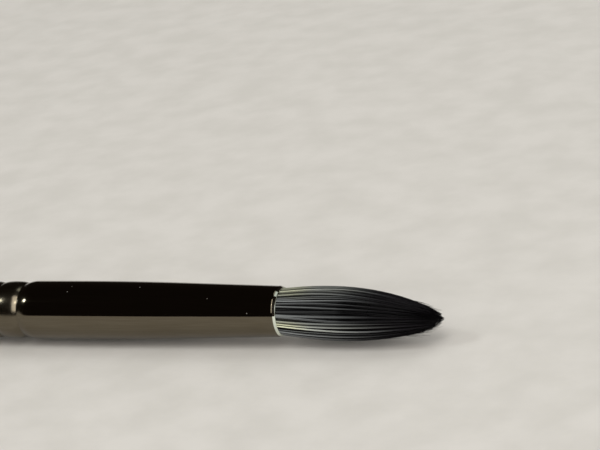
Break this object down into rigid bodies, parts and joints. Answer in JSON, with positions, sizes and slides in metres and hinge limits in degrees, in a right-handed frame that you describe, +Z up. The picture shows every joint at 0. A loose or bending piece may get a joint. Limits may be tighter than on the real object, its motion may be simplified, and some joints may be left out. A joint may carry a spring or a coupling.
{
  "type": "round hair brush",
  "caption": "Round artist's brush with a black synthetic hair tuft, a dark polished crimped metal ferrule and a turned black lacquered handle.",
  "frame": {"origin": "on the surface that the brush lies on, under its axis, at the middle of its length", "axes": "+X along the brush's axis towards the hair tip, +Z up; the axis runs level at half the handle's thickest diameter"},
  "size_m": [0.2136, 0.01, 0.01],
  "materials": {
    "dark_nickel": "polished",
    "lacquered_wood": "gloss",
    "cured_glue": "satin",
    "cured_resin": "gloss",
    "thread": "matte",
    "hair": "gloss"
  },
  "bodies": {
    "holder": {"ferrule": "dark_nickel", "handle": "lacquered_wood", "handle_glue": "cured_glue", "resin_plug": "cured_resin", "binding_thread": "thread"},
    "tuft": {"core_hair": "hair", "belly_hair": "hair", "cover_hair": "hair"}
  },
  "joints": [
    {"name": "tuft_bend", "type": "hinge", "parent": "holder", "child": "tuft", "pos_m": [0.08285, 0, 0.005], "axis": [0, 0, 1], "range_deg": [-35, 35], "stiffness_Nm_per_rad": 0.01, "deforming": ["core_hair", "belly_hair", "cover_hair"]}
  ]
}
